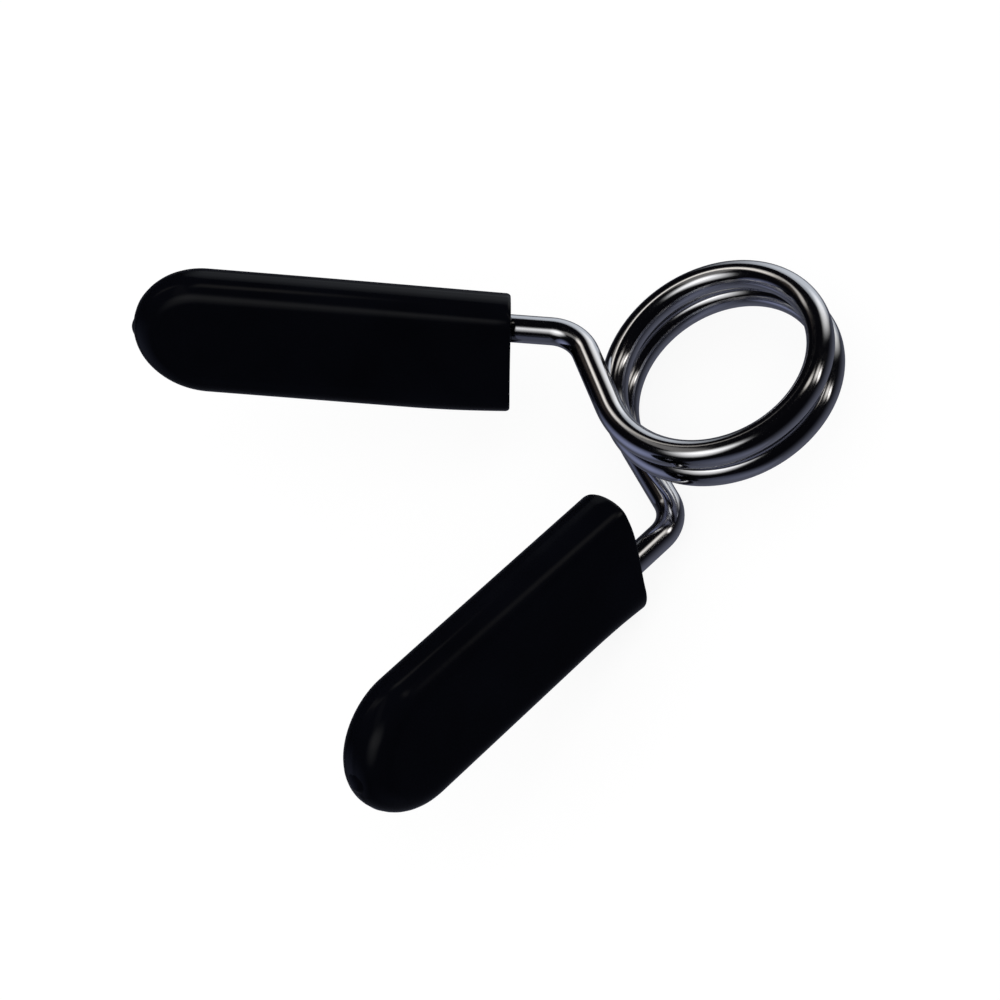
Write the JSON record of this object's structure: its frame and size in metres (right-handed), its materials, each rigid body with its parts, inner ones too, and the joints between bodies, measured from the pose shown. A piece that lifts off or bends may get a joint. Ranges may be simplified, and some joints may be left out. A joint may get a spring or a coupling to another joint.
{
  "type": "barbell spring collar",
  "caption": "Chromed wire spring clamp for a bar: a coil whose two ends are handles with black grips, which open the coil when squeezed together.",
  "frame": {"origin": "middle of the coil, on the axis of the bar that it clamps", "axes": "+Z along the bar and the coil's axis, towards the side that the handles rise to; -X from the coil towards the handles, midway between them; +Y towards the upper handle"},
  "size_m": [0.1567, 0.1657, 0.0598],
  "materials": {
    "spring_wire": "polished chrome plating on round spring steel wire",
    "grip": "satin black moulded plastic"
  },
  "bodies": {
    "spring": {"spring_coil": "spring_wire", "lower_arm": "spring_wire", "lower_grip": "grip"},
    "upper_handle": {"upper_arm": "spring_wire", "upper_grip": "grip"}
  },
  "joints": [
    {"name": "squeeze", "type": "hinge", "parent": "spring", "child": "upper_handle", "pos_m": [0, 0, 0], "axis": [0, 0, 1], "range_deg": [0, 40], "stiffness_Nm_per_rad": 55, "deforming": ["spring_coil"]}
  ]
}
